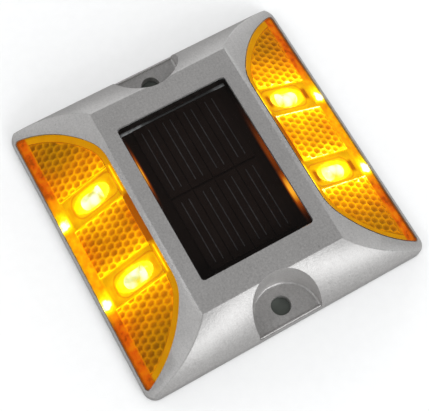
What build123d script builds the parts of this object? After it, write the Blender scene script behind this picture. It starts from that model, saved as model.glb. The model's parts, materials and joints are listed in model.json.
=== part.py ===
"""Solar road stud: a cast aluminium raised pavement marker with two amber LED lenses.

Frame: millimetres, origin at the centre of the base, +Z up. The lenses face +X and -X,
and the two bolt recesses open towards +Y and -Y.
"""

from build123d import *
import os
from math import atan, cos, degrees, radians, sin

# Casting, outside
body_size = 100.0
height = 18.0
corner_radius = 4.0
top_half_x = 24.2
top_half_y = 36.7
facet_slope = 0.6
band_radius = 25.0
band_foot_y, band_foot_z = 49.7, 3.0
edge_radius = 0.7

# Bolt recesses at the two ends
bolt_y = 43.2
bolt_hole_radius = 3.2
recess_center_y = 47.3
recess_radius = 11.1
recess_floor_z = 3.0
recess_draft = 2.0

# Window over the solar panel
window_x, window_y = 38.8, 56.2
window_gap = 0.2
window_sink = 0.5
window_radius = 1.2
top_wall = 2.0
flange_x, flange_y, flange_thick = 42.4, 60.0, 1.1
flange_radius = 4.0
seal_thick = 0.3

# Hollow under the top, and its cover
cavity_x, cavity_y, cavity_radius = 45.0, 66.0, 7.0
cover_x, cover_y, cover_radius = 55.0, 71.6, 4.0
cover_thick = 2.0
gasket_thick = 0.4
gasket_inner_x, gasket_inner_y = 46.4, 67.4
fit_gap = 0.2
screw_x, screw_y = 24.6, 32.8
screw_radius = 1.25
screw_clear_radius = 1.4
screw_head_radius, screw_head_length = 2.3, 1.2
screw_head_angle = 90.0
screw_length = 7.0

# Lenses, measured in the plane of the sloping facet: u runs down the slope, v along it
lens_inner_u, lens_outer_u = 2.1, 28.9
lens_straight_v = 21.1
lens_arcs = ((13.85, 33.9), (44.4, 45.0))
lens_nose_radius = 1.2
lens_thick = 2.0
lens_gap = 0.15
lens_ledge = 2.5
lens_seal_thick = 0.2
chamber_inner_x, chamber_outer_x = 28.3, 45.6
chamber_floor_z = 3.2
pocket_u, pocket_v, pocket_radius = 12.2, 8.4, 3.2
pocket_center_u = 14.1
pocket_roof = 0.7

# LEDs, lying under the lenses and pointing outwards down the slope
led_x, led_y, led_z = 35.4, 14.7, 7.1
led_tilt = 28.0
led_radius, led_length = 2.5, 8.6
led_flange_radius, led_flange_thick = 2.9, 1.0
lead_radius, lead_pitch = 0.25, 2.54
led_board_x, led_board_z = 29.0, 3.4
led_board_thick, led_board_y, led_board_high = 0.8, 50.0, 8.2
reflector_depth, reflector_thick = 3.3, 0.8
reflector_inner_u, reflector_outer_u, reflector_v = 8.8, 21.4, 50.0
reflector_slot_end_u, reflector_slot_v = 19.9, 6.6

# Solar panel
panel_x, panel_y, panel_thick, panel_z = 40.0, 57.0, 1.0, 13.1
cell_x, cell_y, cell_thick = 7.3, 25.6, 0.3
cell_pitch_x, cell_pitch_y = 7.6, 26.4
cell_columns, cell_rows = 4, 2
busbar_width, busbar_pitch, busbar_length, busbar_thick = 0.35, 2.55, 21.8, 0.08
spacer_inner_x, spacer_inner_y = 37.4, 54.4

# Battery, circuit board and wires
battery_x, battery_z = -13.0, 7.6
battery_radius, battery_length = 5.2, 43.4
cradle_x, cradle_y, cradle_top_z, cradle_spread = 11.8, 4.0, 6.0, 28.0
tab_x, tab_thick, tab_z = 6.0, 0.3, 8.0
pad_x, pad_y = 5.0, 36.0
board_x, board_y, board_thick, board_z, board_center_x = 17.0, 52.0, 1.2, 4.6, 9.0
post_radius, post_pitch_x, post_pitch_y = 1.6, 12.0, 40.0
resistor_x, resistor_y, resistor_high = 2.0, 1.2, 0.5
resistor_pitch_x, resistor_pitch_y, resistor_center_y = 3.2, 2.4, 14.5
resistor_columns, resistor_rows = 3, 2
wire_radius, wire_bend = 0.5, 1.1
wire_high_z, wire_low_z = 10.6, 8.0
wire_y = 23.6
wire_pad_x, wire_pad_y = 5.7, 17.3
led_wire_spread = 1.6
bush_radius = 1.9

cover_recess = cover_thick + gasket_thick
facet_angle = degrees(atan(facet_slope))
facet_foot_z = height - facet_slope * (body_size / 2 - top_half_x)
board_top = board_z + board_thick
panel_top = panel_z + panel_thick
sides = {"right": 1, "left": -1}
ends = {"far": 1, "near": -1}

os.makedirs("parts", exist_ok=True)


def save(piece, name):
    """Label a finished piece and write its STEP file."""
    piece.part.label = name
    export_step(piece.part, f"parts/{name}.step")


def facet_plane(side, depth=0.0):
    """Plane of one sloping facet, with its x axis running down the slope, sunk by depth."""
    a = radians(facet_angle)
    normal = Vector(side * sin(a), 0, cos(a))
    origin = Vector(side * top_half_x, 0, height) - normal * depth
    return Plane(origin=origin, x_dir=(side * cos(a), 0, -sin(a)), z_dir=normal)


def led_plane(side, end, along=0.0):
    """Plane across one LED's axis, at a distance along it from the LED's middle."""
    a = radians(led_tilt)
    axis = Vector(side * cos(a), 0, -sin(a))
    return Plane(origin=Vector(side * led_x, end * led_y, led_z) + axis * along, x_dir=(0, 1, 0), z_dir=axis)


def lens_outline(inset=0.0):
    """Flat sketch of a lens, inset all round: two arcs at each end, cut straight and rounded outside."""
    with BuildSketch() as outline:
        with BuildLine():
            corner, heading = Vector(lens_inner_u + inset, lens_straight_v), Vector(0, 1)
            Line((corner.X, 0), corner)
            for radius, turn in lens_arcs:
                arc = JernArc(corner, heading, radius - inset, -turn)
                corner, heading = arc @ 1, arc % 1
            Polyline(corner, (corner.X, 0), (lens_inner_u + inset, 0))
        make_face()
        mirror(about=Plane.XZ)
        with Locations((lens_outer_u - inset, 0)):
            Rectangle(body_size, body_size, align=(Align.MAX, Align.CENTER), mode=Mode.INTERSECT)
        fillet(outline.vertices().group_by(Axis.X)[-1], radius=lens_nose_radius)
    return outline.sketch


lens_shape = lens_outline()
seat_shape = lens_outline(-lens_gap)
opening_shape = lens_outline(lens_ledge)

# What each lens takes out of the casting: a seat in the facet and a chamber below it
lens_cutters = []
for side in sides.values():
    with BuildPart() as cutter:
        with BuildSketch(facet_plane(side)):
            add(opening_shape)
        extrude(amount=-2 * height)
        with BuildSketch(Plane.XY.offset(chamber_floor_z)):
            with Locations((side * (chamber_inner_x + chamber_outer_x) / 2, 0)):
                Rectangle(chamber_outer_x - chamber_inner_x, body_size)
        extrude(amount=height, mode=Mode.INTERSECT)
        with BuildSketch(facet_plane(side)):
            add(seat_shape)
        extrude(amount=-(lens_thick + lens_seal_thick))
    lens_cutters.append(cutter.part)

# The casting: a block cut to the facets, the arched ends and the rounded plan
with BuildPart() as body_casting:
    with BuildSketch(Plane.XY):
        RectangleRounded(body_size, body_size, corner_radius)
    extrude(amount=height)
    with BuildSketch(Plane.XZ):
        Polygon(
            (-body_size / 2, 0),
            (body_size / 2, 0),
            (body_size / 2, facet_foot_z),
            (top_half_x, height),
            (-top_half_x, height),
            (-body_size / 2, facet_foot_z),
            align=None,
        )
    extrude(amount=body_size / 2, both=True, mode=Mode.INTERSECT)
    with BuildSketch(Plane.YZ):
        with BuildLine():
            Line((-body_size / 2, 0), (body_size / 2, 0))
            Line((body_size / 2, 0), (band_foot_y, band_foot_z))
            RadiusArc((band_foot_y, band_foot_z), (top_half_y, height), -band_radius)
            Line((top_half_y, height), (-top_half_y, height))
            RadiusArc((-top_half_y, height), (-band_foot_y, band_foot_z), -band_radius)
            Line((-band_foot_y, band_foot_z), (-body_size / 2, 0))
        make_face()
    extrude(amount=body_size / 2, both=True, mode=Mode.INTERSECT)
    fillet(body_casting.edges().filter_by(lambda e: e.bounding_box().min.Z > edge_radius), radius=edge_radius)

    # Bolt recesses, open at the ends, with their through holes
    for end in ends.values():
        with BuildSketch(Plane.XY.offset(recess_floor_z)):
            with Locations((0, end * recess_center_y)):
                Circle(recess_radius)
            with Locations((0, end * (recess_center_y + recess_radius / 2))):
                Rectangle(2 * recess_radius, recess_radius)
        extrude(amount=height, taper=-recess_draft, mode=Mode.SUBTRACT)
    with BuildSketch(Plane.XY):
        with GridLocations(0, 2 * bolt_y, 1, 2):
            Circle(bolt_hole_radius)
    extrude(amount=recess_floor_z, mode=Mode.SUBTRACT)

    # Window opening, hollow, cover recess and the cover's screw holes
    with BuildSketch(Plane.XY.offset(height)):
        RectangleRounded(window_x, window_y, window_radius)
    extrude(amount=-top_wall, mode=Mode.SUBTRACT)
    with BuildSketch(Plane.XY):
        RectangleRounded(cavity_x, cavity_y, cavity_radius)
    extrude(amount=height - top_wall, mode=Mode.SUBTRACT)
    with BuildSketch(Plane.XY):
        RectangleRounded(cover_x, cover_y, cover_radius)
    extrude(amount=cover_recess, mode=Mode.SUBTRACT)
    with BuildSketch(Plane.XY.offset(cover_recess)):
        with GridLocations(2 * screw_x, 2 * screw_y, 2, 2):
            Circle(screw_radius)
    extrude(amount=screw_length, mode=Mode.SUBTRACT)

    # Lens seats, the chambers under them and the holes for the LED wires
    for cutter_part in lens_cutters:
        add(cutter_part, mode=Mode.SUBTRACT)
    with BuildSketch(Plane.YZ):
        with Locations((-wire_y, wire_high_z)):
            Circle(bush_radius)
    extrude(amount=chamber_inner_x + fit_gap, both=True, mode=Mode.SUBTRACT)
save(body_casting, "body_casting")

# Clear window: a pad that fills the opening, on a flange glued under the top wall
flange_z = height - top_wall - seal_thick - flange_thick
with BuildPart() as solar_window:
    with BuildSketch(Plane.XY.offset(flange_z)):
        RectangleRounded(flange_x, flange_y, flange_radius)
    extrude(amount=flange_thick)
    with BuildSketch(Plane.XY.offset(flange_z)):
        RectangleRounded(window_x - 2 * window_gap, window_y - 2 * window_gap, window_radius)
    extrude(amount=height - window_sink - flange_z)
    fillet(solar_window.faces().sort_by(Axis.Z)[-1].edges(), radius=window_gap)
save(solar_window, "solar_window")

with BuildPart() as window_seal:
    with BuildSketch(Plane.XY.offset(height - top_wall - seal_thick)):
        RectangleRounded(flange_x, flange_y, flange_radius)
        RectangleRounded(window_x, window_y, window_radius, mode=Mode.SUBTRACT)
    extrude(amount=seal_thick)
save(window_seal, "window_seal")

# Solar panel: board, eight cells, their conductors and a bonded frame
with BuildPart() as panel_board:
    with BuildSketch(Plane.XY.offset(panel_z)):
        RectangleRounded(panel_x, panel_y, window_radius)
    extrude(amount=panel_thick)
save(panel_board, "panel_board")

with BuildPart() as panel_frame:
    with BuildSketch(Plane.XY.offset(panel_top)):
        RectangleRounded(panel_x, panel_y, window_radius)
        Rectangle(spacer_inner_x, spacer_inner_y, mode=Mode.SUBTRACT)
    extrude(amount=flange_z - panel_top)
save(panel_frame, "panel_frame")

for column in range(cell_columns):
    for row, end in enumerate(ends.values()):
        cell_place = ((column - (cell_columns - 1) / 2) * cell_pitch_x, end * cell_pitch_y / 2)
        with BuildPart() as solar_cell:
            with BuildSketch(Plane.XY.offset(panel_top)):
                with Locations(cell_place):
                    Rectangle(cell_x, cell_y)
            extrude(amount=cell_thick)
        save(solar_cell, f"solar_cell_{cell_columns * row + column + 1}")

with BuildPart() as cell_busbars:
    with BuildSketch(Plane.XY.offset(panel_top + cell_thick)):
        with GridLocations(cell_pitch_x, cell_pitch_y, cell_columns, cell_rows):
            with GridLocations(busbar_pitch, 0, 2, 1):
                Rectangle(busbar_width, busbar_length)
    extrude(amount=busbar_thick)
save(cell_busbars, "cell_busbars")

# Each lens unit: lens, seal, reflector, LED board, LEDs, leads, wires and the wires' bush
led_board_face = led_board_x + led_board_thick / 2
for name, side in sides.items():
    with BuildPart() as lens:
        with BuildSketch(facet_plane(side)):
            add(lens_shape)
        extrude(amount=-lens_thick)
        with BuildSketch(facet_plane(side, lens_thick)):
            with Locations((pocket_center_u, led_y), (pocket_center_u, -led_y)):
                RectangleRounded(pocket_u, pocket_v, pocket_radius)
        extrude(amount=lens_thick - pocket_roof, mode=Mode.SUBTRACT)
    save(lens, f"lens_{name}")

    with BuildPart() as lens_seal:
        with BuildSketch(facet_plane(side, lens_thick)):
            add(lens_shape)
            add(opening_shape, mode=Mode.SUBTRACT)
        extrude(amount=-lens_seal_thick)
    save(lens_seal, f"lens_seal_{name}")

    with BuildPart() as reflector:
        with BuildSketch(facet_plane(side, reflector_depth)):
            with Locations((reflector_inner_u, 0)):
                Rectangle(
                    reflector_outer_u - reflector_inner_u, reflector_v, align=(Align.MIN, Align.CENTER)
                )
            with Locations((reflector_slot_end_u, led_y), (reflector_slot_end_u, -led_y)):
                Rectangle(
                    reflector_outer_u, reflector_slot_v, align=(Align.MAX, Align.CENTER), mode=Mode.SUBTRACT
                )
        extrude(amount=-reflector_thick)
    save(reflector, f"reflector_{name}")

    with BuildPart() as led_board:
        with BuildSketch(Plane.YZ.offset(side * led_board_x)):
            with Locations((0, led_board_z)):
                Rectangle(led_board_y, led_board_high, align=(Align.CENTER, Align.MIN))
        extrude(amount=led_board_thick / 2, both=True)
    save(led_board, f"led_board_{name}")

    for place, end in ends.items():
        with BuildPart() as led:
            with BuildSketch(led_plane(side, end, -led_length / 2)):
                Circle(led_flange_radius)
            extrude(amount=led_flange_thick)
            with BuildSketch(led_plane(side, end, -led_length / 2)):
                Circle(led_radius)
            extrude(amount=led_length - led_radius)
            with Locations(led_plane(side, end, led_length / 2 - led_radius).location):
                Sphere(led_radius)
        save(led, f"led_{name}_{place}")

    with BuildPart() as led_leads:
        for end in ends.values():
            with BuildSketch(led_plane(side, end, -led_length / 2)):
                with GridLocations(lead_pitch, 0, 2, 1):
                    Circle(lead_radius)
            extrude(amount=-led_length / 2)
        board_face = Plane(origin=(side * led_board_face, 0, 0), z_dir=(side, 0, 0))
        split(bisect_by=board_face, keep=Keep.TOP)
    save(led_leads, f"led_leads_{name}")

    with BuildPart() as wire_bush:
        with BuildSketch(Plane.YZ.offset(side * cavity_x / 2)):
            with Locations((-wire_y, wire_high_z)):
                Circle(bush_radius)
                with GridLocations(led_wire_spread, 0, 2, 1):
                    Circle(wire_radius, mode=Mode.SUBTRACT)
        extrude(amount=side * (chamber_inner_x - cavity_x / 2))
    save(wire_bush, f"wire_bush_{name}")

    with BuildPart() as led_wires:
        for offset_y in (-led_wire_spread / 2, led_wire_spread / 2):
            start_x = board_center_x + side * board_x / 4
            y = -wire_y + offset_y
            with BuildLine() as route:
                FilletPolyline(
                    (start_x, y, board_top),
                    (start_x, y, wire_high_z),
                    (side * (led_board_face - led_board_thick), y, wire_high_z),
                    radius=wire_bend,
                )
            with BuildSketch(Plane(origin=route.line @ 0, z_dir=route.line % 0)):
                Circle(wire_radius)
            sweep(path=route.line)
    save(led_wires, f"led_wires_{name}")

# Battery with its end tabs, foam pad and wires
with BuildPart() as battery_cell:
    with BuildSketch(Plane.XZ.offset(-battery_length / 2)):
        with Locations((battery_x, battery_z)):
            Circle(battery_radius)
    extrude(amount=battery_length)
save(battery_cell, "battery_cell")

with BuildPart() as battery_tabs:
    for end in ends.values():
        with BuildSketch(Plane.XZ.offset(-end * battery_length / 2)):
            with Locations((battery_x, battery_z)):
                Rectangle(tab_x, tab_z)
        extrude(amount=-end * tab_thick)
save(battery_tabs, "battery_tabs")

with BuildPart() as battery_pad:
    with BuildSketch(Plane.XY.offset(battery_z + battery_radius)):
        with Locations((battery_x, 0)):
            Rectangle(pad_x, pad_y)
    extrude(amount=panel_z - battery_z - battery_radius)
save(battery_pad, "battery_pad")

with BuildPart() as battery_wires:
    for end in ends.values():
        tab_face = end * (battery_length / 2 + tab_thick)
        with BuildLine() as route:
            FilletPolyline(
                (battery_x, tab_face, wire_low_z),
                (battery_x, end * (wire_y + wire_bend), wire_low_z),
                (board_center_x - wire_pad_x, end * (wire_y + wire_bend), wire_low_z),
                (board_center_x - wire_pad_x, end * (wire_y + wire_bend), board_top),
                radius=wire_bend,
            )
        with BuildSketch(Plane(origin=route.line @ 0, z_dir=route.line % 0)):
            Circle(wire_radius)
        sweep(path=route.line)
save(battery_wires, "battery_wires")

# Circuit board and what is soldered to it
with BuildPart() as main_board:
    with BuildSketch(Plane.XY.offset(board_z)):
        with Locations((board_center_x, 0)):
            Rectangle(board_x, board_y)
            with GridLocations(post_pitch_x, post_pitch_y, 2, 2):
                Circle(post_radius / 2, mode=Mode.SUBTRACT)
    extrude(amount=board_thick)
save(main_board, "main_board")

block_parts = {
    "driver_chip": ((5.0, 4.0, 1.5), (-3.0, 8.0)),
    "diode": ((4.3, 2.6, 2.1), (4.0, 9.0)),
    "transistor": ((2.9, 1.6, 1.1), (4.5, 3.0)),
}
for name, (size, place) in block_parts.items():
    with BuildPart() as block:
        with BuildSketch(Plane.XY.offset(board_top)):
            with Locations((board_center_x + place[0], place[1])):
                Rectangle(size[0], size[1])
        extrude(amount=size[2])
        chamfer(block.faces().sort_by(Axis.Z)[-1].edges(), length=size[2] / 6)
    save(block, name)

can_parts = {"inductor": (3.0, 4.2, (-2.5, -4.0)), "capacitor": (3.1, 6.4, (2.5, -12.0))}
for name, (radius, tall, place) in can_parts.items():
    with BuildPart() as can:
        with BuildSketch(Plane.XY.offset(board_top)):
            with Locations((board_center_x + place[0], place[1])):
                Circle(radius)
        extrude(amount=tall)
        fillet(can.faces().sort_by(Axis.Z)[-1].edges(), radius=radius / 6)
    save(can, name)

with BuildPart() as resistors:
    with BuildSketch(Plane.XY.offset(board_top)):
        with Locations((board_center_x, resistor_center_y)):
            with GridLocations(resistor_pitch_x, resistor_pitch_y, resistor_columns, resistor_rows):
                Rectangle(resistor_x, resistor_y)
    extrude(amount=resistor_high)
save(resistors, "resistors")

with BuildPart() as solar_wires:
    for x in (board_center_x + wire_pad_x, board_center_x + wire_pad_x - 3 * wire_radius):
        with BuildLine() as route:
            FilletPolyline(
                (x, wire_pad_y, board_top),
                (x, wire_pad_y, wire_low_z),
                (x, wire_pad_y + 2 * wire_bend, wire_high_z),
                (x, wire_pad_y + 2 * wire_bend, panel_z),
                radius=wire_bend,
            )
        with BuildSketch(Plane(origin=route.line @ 0, z_dir=route.line % 0)):
            Circle(wire_radius)
        sweep(path=route.line)
save(solar_wires, "solar_wires")

# Bottom cover with board posts and battery cradles, its gasket and screws
with BuildPart() as bottom_cover:
    with BuildSketch(Plane.XY):
        RectangleRounded(cover_x - 2 * fit_gap, cover_y - 2 * fit_gap, cover_radius)
    extrude(amount=cover_thick)
    with BuildSketch(Plane.XY.offset(cover_thick)):
        with Locations((board_center_x, 0)):
            with GridLocations(post_pitch_x, post_pitch_y, 2, 2):
                Circle(post_radius)
    extrude(amount=board_z - cover_thick)
    with BuildSketch(Plane.XY.offset(cover_thick)):
        with Locations((battery_x, 0)):
            with GridLocations(0, cradle_spread, 1, 2):
                Rectangle(cradle_x, cradle_y)
    extrude(amount=cradle_top_z - cover_thick)
    with BuildSketch(Plane.XZ.offset(-body_size / 2)):
        with Locations((battery_x, battery_z)):
            Circle(battery_radius)
    extrude(amount=body_size, mode=Mode.SUBTRACT)
    with Locations(Plane(origin=(0, 0, 0), x_dir=(1, 0, 0), z_dir=(0, 0, -1))):
        with GridLocations(2 * screw_x, 2 * screw_y, 2, 2):
            CounterSinkHole(
                screw_clear_radius, screw_head_radius + fit_gap / 2, counter_sink_angle=screw_head_angle
            )
save(bottom_cover, "bottom_cover")

with BuildPart() as cover_gasket:
    with BuildSketch(Plane.XY.offset(cover_thick)):
        RectangleRounded(cover_x - 2 * fit_gap, cover_y - 2 * fit_gap, cover_radius)
        RectangleRounded(gasket_inner_x, gasket_inner_y, cavity_radius, mode=Mode.SUBTRACT)
        with GridLocations(2 * screw_x, 2 * screw_y, 2, 2):
            Circle(screw_clear_radius, mode=Mode.SUBTRACT)
    extrude(amount=gasket_thick)
save(cover_gasket, "cover_gasket")

with BuildPart() as cover_screws:
    with BuildSketch(Plane.XY):
        with GridLocations(2 * screw_x, 2 * screw_y, 2, 2):
            Circle(screw_radius)
    extrude(amount=screw_length + fit_gap)
    head_taper = degrees(atan((screw_head_radius - screw_radius + fit_gap / 2) / screw_head_length))
    with BuildSketch(Plane.XY):
        with GridLocations(2 * screw_x, 2 * screw_y, 2, 2):
            Circle(screw_head_radius)
    extrude(amount=screw_head_length, taper=head_taper)
save(cover_screws, "cover_screws")
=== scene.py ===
"""Solar road stud: a cast aluminium marker with two lit amber lens units and a solar window.

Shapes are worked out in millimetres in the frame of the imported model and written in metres.
On a lens, u runs down the sloping facet from its top edge, v runs along the facet (the Y
axis) and depth goes square into it.
"""

import json
from math import asin, atan, cos, pi, radians, sin, sqrt

import bmesh
import bpy
import numpy as np
from bpy.props import FloatProperty, FloatVectorProperty, PointerProperty
from mathutils import Matrix, Vector


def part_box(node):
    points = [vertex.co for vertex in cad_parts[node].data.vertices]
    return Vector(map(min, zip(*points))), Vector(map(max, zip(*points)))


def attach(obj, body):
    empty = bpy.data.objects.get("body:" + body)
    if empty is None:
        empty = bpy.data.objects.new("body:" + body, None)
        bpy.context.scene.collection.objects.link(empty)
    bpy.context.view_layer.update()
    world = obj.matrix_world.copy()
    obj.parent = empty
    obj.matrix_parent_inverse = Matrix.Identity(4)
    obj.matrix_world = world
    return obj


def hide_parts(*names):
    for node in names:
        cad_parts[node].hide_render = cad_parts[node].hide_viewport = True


bl_info = {
    "name": "Solar road stud",
    "version": (1, 0, 0),
    "blender": (4, 5, 0),
    "location": "View3D > Sidebar > Road stud",
    "description": "Builds the looks of a solar road stud round its packed frame",
    "category": "Object",
}

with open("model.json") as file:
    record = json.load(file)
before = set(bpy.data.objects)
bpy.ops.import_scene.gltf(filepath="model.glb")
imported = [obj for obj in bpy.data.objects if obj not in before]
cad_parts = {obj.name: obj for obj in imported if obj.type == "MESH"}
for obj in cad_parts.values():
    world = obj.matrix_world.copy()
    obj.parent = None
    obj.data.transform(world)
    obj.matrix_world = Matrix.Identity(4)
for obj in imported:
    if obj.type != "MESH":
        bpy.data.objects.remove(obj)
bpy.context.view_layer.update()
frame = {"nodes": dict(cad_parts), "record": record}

MM = 0.001
SIDES = {"left": -1, "right": 1}

# The casting's facets and the lens outline in the plane of a facet
HEIGHT = 18.0
TOP_HALF_X = 24.2
FACET_ANGLE = atan(0.6)
LENS_INNER_U, LENS_OUTER_U = 2.1, 28.9
LENS_STRAIGHT_V = 21.1
LENS_ARCS = ((13.85, radians(33.9)), (44.4, radians(90.0)))
NOSE_RADIUS = 1.2

# What shows in a lens: smooth rim, outer strip, prism fields and lamp bays
RIM_WIDTH = 2.35
STRIP_U = 25.3
PRISM_INNER_U = 4.7
BAY_INNER_V, BAY_OUTER_V = 8.7, 19.8
BOWL_U, BOWL_V = 14.6, 14.7
BOWL_HALF_U, BOWL_HALF_V = 7.4, 3.45
CUP_HALF_U, CUP_HALF_V, CUP_RADIUS = 9.3, 4.1, 3.4
CUP_U = 13.0

# Light in a lens: shade and glow from 0 to 1, and how far the glow of a lamp reaches
CUP_END_SHADE = {"left": 0.3, "right": 0.9}
HOT_CORE_OFFSET = 2.6
STRIP_REACH_BEFORE, STRIP_REACH_PAST = 3.8, 7.4
STRIP_PEAK, HOT_CORE_PEAK = 0.88, 0.30
HOT_CORE_REACH = {"left": (1.1, 1.7), "right": (1.3, 1.9)}
FIELD_GLOW = {"left": 0.18, "right": 0.36}

# Prism grid: pitch, and where it starts on each side
PRISM_PITCH_U, PRISM_PITCH_V = 2.70, 2.35
PRISM_START = {"left": (4.35, 0.1), "right": (2.75, -0.7)}

# Walls in metres, and depths in a lens: rim and strip, and the drops below them
BED_WALL, PRISM_WALL = 0.0003, 0.00015
RIM_DEPTH, FIELD_DROP, BAY_RISE = 1.1, 1.15, 0.75
CUP_DROP, BOWL_DROP = 0.3, 2.0
COVER_TOP, COVER_EDGE_RADIUS = 0.02, 0.55
GROOVE_DEPTH, GROOVE_REACH = 0.05, 0.16

# Rings of a prism from its border to its middle: size, depth and closeness to the border
PRISM_SCALES = (1.0, 0.80, 0.42, 0.0)
PRISM_DEPTHS = (1.25, 1.38, 1.70, 1.80)
PRISM_SEAMS = (1.0, 0.6, 0.1, 0.0)
PRISM_CORNER_LIFT = 0.12
# Turn of the side of each prism that is painted lighter, as painted shading
PRISM_LIGHT_TURN = radians(70.0)

# Bolt recesses in the curved bands
RECESS_Y, RECESS_RADIUS, RECESS_FLOOR = 47.3, 11.1, 3.0
FILLET_RADIUS = 0.8
LIP_Y, LIP_RADIUS = 49.1, 0.35

# Ribbon at the far end of the solar panel
RIBBON_WIDTH, RIBBON_END_GAP = 1.05, 1.3

# Lamplight past the panel: side, middle and half length along Y in metres, and peak
PANEL_LEAKS = (
    (-1.0, 0.0120, 0.0060, 1.0),
    (1.0, -0.0150, 0.0052, 1.0),
    (1.0, -0.0010, 0.0090, 0.22),
)

# Hot patches of a lit LED: distances from the two middle planes and reach, in metres
LED_PATCHES = ((0.0321, 0.0156, 0.0033), (0.0352, 0.0139, 0.0027), (0.0384, 0.0150, 0.0035))

# Stage, in metres: each lamp's direction from the stud, its width, and its share of a power setting
LAMP_DISTANCE = 1.8
LAMP_COLOUR = (0.96, 0.985, 1.0)
LAMPS = {
    "front lamp": ((0.18, -0.89, 0.40), 1.1, "front_power", 1.0),
    "near left lamp": ((-0.80, -0.12, 0.58), 0.6, "side_power", 1.0),
    "far left lamp": ((-0.66, 0.66, 0.36), 0.6, "side_power", 0.75),
    "near right lamp": ((0.94, -0.13, 0.31), 0.6, "side_power", 0.7),
    "far right lamp": ((0.73, 0.66, 0.18), 0.6, "side_power", 0.85),
    "back lamp": ((0.16, 0.93, 0.33), 0.9, "back_power", 1.0),
}
# Floor, and the dark sheet under the stud that paints shade into the bolt holes: half widths and heights
FLOOR_HALF, SHADE_SHEET_HALF = 2.0, 0.0485
FLOOR_Z, SHADE_SHEET_Z = -0.0004, -0.0002

# Camera: place in millimetres, turns in degrees and lens in millimetres
CAMERA_EYE = (-52.3, -89.2, 288.5)
CAMERA_AZIMUTH, CAMERA_ELEVATION, CAMERA_ROLL = -30.67, 70.96, 1.5
CAMERA_LENS = 78.6


# ---------------------------------------------------------------- shape helpers


def smooth_step(x, low, high):
    """0 below low, 1 above high, and a smooth cubic in between."""
    t = np.clip((x - low) / (high - low), 0.0, 1.0)
    return t * t * (3.0 - 2.0 * t)


def on_facet(side, u, v, depth):
    """Points in millimetres for u, v and depth on the facet of one side, as an (..., 3) array.

    x is the facet's top edge plus u along the slope less depth along its normal, z is the
    top's height less the same two seen from the side, and y is v.
    """
    c, s = cos(FACET_ANGLE), sin(FACET_ANGLE)
    u, v, depth = np.broadcast_arrays(u, v, depth)
    x = side * (TOP_HALF_X + u * c - depth * s)
    z = HEIGHT - u * s - depth * c
    return np.stack([x, v, z], axis=-1)


def lens_end_arcs():
    """Centre u, centre v, radius, first and last turn of the three arcs at a lens's +v end.

    Each arc is tangent to the run before it. The last one, the nose, is tangent to the wide
    arc and to the straight outer edge.
    """
    (r1, turn1), (r2, _) = LENS_ARCS
    c1 = (LENS_INNER_U + r1, LENS_STRAIGHT_V)
    c2 = (c1[0] + (r2 - r1) * cos(turn1), c1[1] - (r2 - r1) * sin(turn1))
    nose_u = LENS_OUTER_U - NOSE_RADIUS
    reach = r2 - NOSE_RADIUS
    turn2 = pi / 2 + asin((nose_u - c2[0]) / reach)
    nose_v = c2[1] + sqrt(reach**2 - (nose_u - c2[0]) ** 2)
    return (
        (*c1, r1, 0.0, turn1),
        (*c2, r2, turn1, turn2),
        (nose_u, nose_v, NOSE_RADIUS, turn2, pi),
    )


def lens_edge(count):
    """Inner edge of a lens as (u, v) points, evenly spaced in each run, from -v nose to +v nose.

    The upper half is a straight run and three arcs. A point at turn a on an arc is its centre
    plus the radius times (-cos a, sin a). The lower half is its mirror image.
    """
    arcs = lens_end_arcs()
    lengths = [LENS_STRAIGHT_V] + [r * (b - a) for _, _, r, a, b in arcs]
    share = count / 2 / sum(lengths)
    steps = np.linspace(0.0, LENS_STRAIGHT_V, max(2, int(lengths[0] * share)), endpoint=False)
    runs = [np.stack([np.full_like(steps, LENS_INNER_U), steps], axis=-1)]
    for (cu, cv, r, a, b), length in zip(arcs, lengths[1:]):
        turn = np.linspace(a, b, max(8, int(length * share)), endpoint=r == NOSE_RADIUS)
        runs.append(np.stack([cu - r * np.cos(turn), cv + r * np.sin(turn)], axis=-1))
    upper = np.concatenate(runs)
    lower = upper[:0:-1] * (1.0, -1.0)
    return np.concatenate([lower, upper])


def lens_grid(across, along):
    """Grid of (u, v) over a lens, shaped (along, across, 2), ruled from inner to outer edge.

    Each ruling starts on the inner edge and runs to the straight outer edge at the same v, or
    at the nose's end past it. Points crowd towards both edges by a sine.
    """
    inner = lens_edge(along)
    nose_v = lens_end_arcs()[2][1]
    outer = np.stack([np.full(len(inner), LENS_OUTER_U), np.clip(inner[:, 1], -nose_v, nose_v)], axis=-1)
    t = np.linspace(0.0, 1.0, across)
    t = (t - 0.6 * np.sin(2 * pi * t) / (2 * pi))[None, :, None]
    return inner[:, None, :] * (1 - t) + outer[:, None, :] * t


def lens_inset(u, v):
    """Distance from each (u, v) to the lens's outline, worked out against a fine run of it."""
    edge = lens_edge(500)
    nose_v = lens_end_arcs()[2][1]
    line = np.stack([np.full(300, LENS_OUTER_U), np.linspace(-nose_v, nose_v, 300)], axis=-1)
    outline = np.concatenate([edge, line])
    points = np.stack([np.ravel(u), np.ravel(v)], axis=-1)
    nearest = np.empty(len(points))
    for start in range(0, len(points), 4000):
        part = points[start : start + 4000]
        gaps = part[:, None, :] - outline[None, :, :]
        nearest[start : start + 4000] = np.sqrt((gaps**2).sum(-1).min(1))
    return nearest.reshape(np.shape(u))


def grid_faces(rows, columns, start=0, flip=False):
    """Quads of a rows by columns grid whose points are numbered row by row from start."""
    index = start + np.arange(rows * columns).reshape(rows, columns)
    corners = [index[:-1, :-1], index[1:, :-1], index[1:, 1:], index[:-1, 1:]]
    quads = np.stack(corners, axis=-1).reshape(-1, 4)
    return quads[:, ::-1] if flip else quads


def slab_faces(rows, columns):
    """Faces of a closed slab: a top grid, a bottom grid numbered after it, and the wall round both."""
    size = rows * columns
    index = np.arange(size).reshape(rows, columns)
    rim = np.concatenate([index[0, :-1], index[:-1, -1], index[-1, :0:-1], index[:0:-1, 0]])
    following = np.roll(rim, -1)
    wall = np.stack([rim, following, following + size, rim + size], axis=-1)
    return np.concatenate([grid_faces(rows, columns), grid_faces(rows, columns, size, flip=True), wall])


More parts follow.
